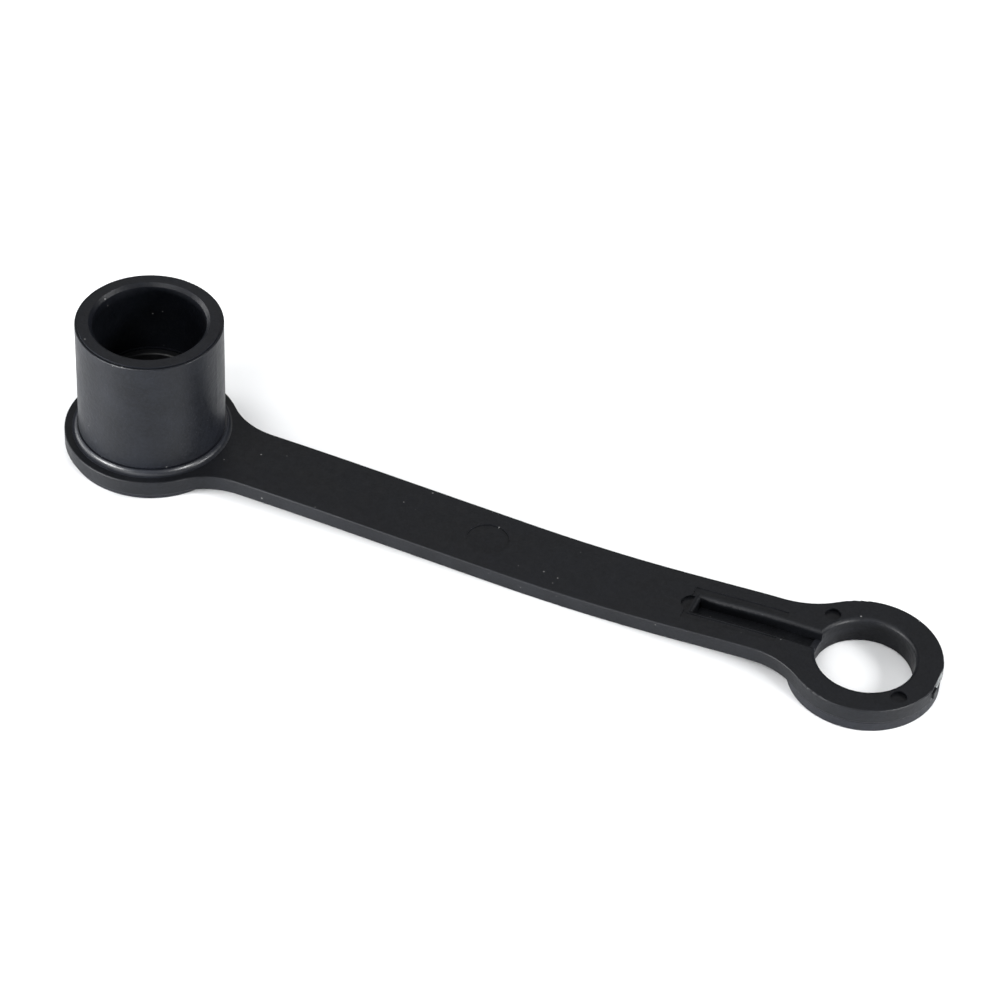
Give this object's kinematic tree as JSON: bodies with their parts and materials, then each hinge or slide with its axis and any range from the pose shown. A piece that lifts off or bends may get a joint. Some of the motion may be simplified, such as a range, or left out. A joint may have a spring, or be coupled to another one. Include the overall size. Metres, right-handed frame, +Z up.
{
  "type": "string winder",
  "caption": "Hand crank with a freely turning hollow handle at one end and a flat grooved ring at the other, in black moulded plastic.",
  "frame": {"origin": "middle of the object's footprint, on the surface that it lies on", "axes": "+X along the crank from the handle to the ring, +Z up along the handle's axis"},
  "size_m": [0.1258, 0.024, 0.0218],
  "materials": {
    "arm_plastic": "fine matt, moulded",
    "handle_plastic": "satin, moulded",
    "bush_plastic": "satin, moulded",
    "washer_plastic": "satin, moulded",
    "collar_plastic": "fine matt, moulded"
  },
  "bodies": {
    "crank": {"crank_arm": "arm_plastic", "pivot_bush": "bush_plastic", "thrust_washer": "washer_plastic", "base_collar": "collar_plastic", "ring_collar": "collar_plastic"},
    "handle": {"handle_sleeve": "handle_plastic"}
  },
  "joints": [
    {"name": "handle_spin", "type": "hinge", "parent": "crank", "child": "handle", "pos_m": [-0.0509, 0, 0], "axis": [0, 0, 1], "continuous": true}
  ]
}
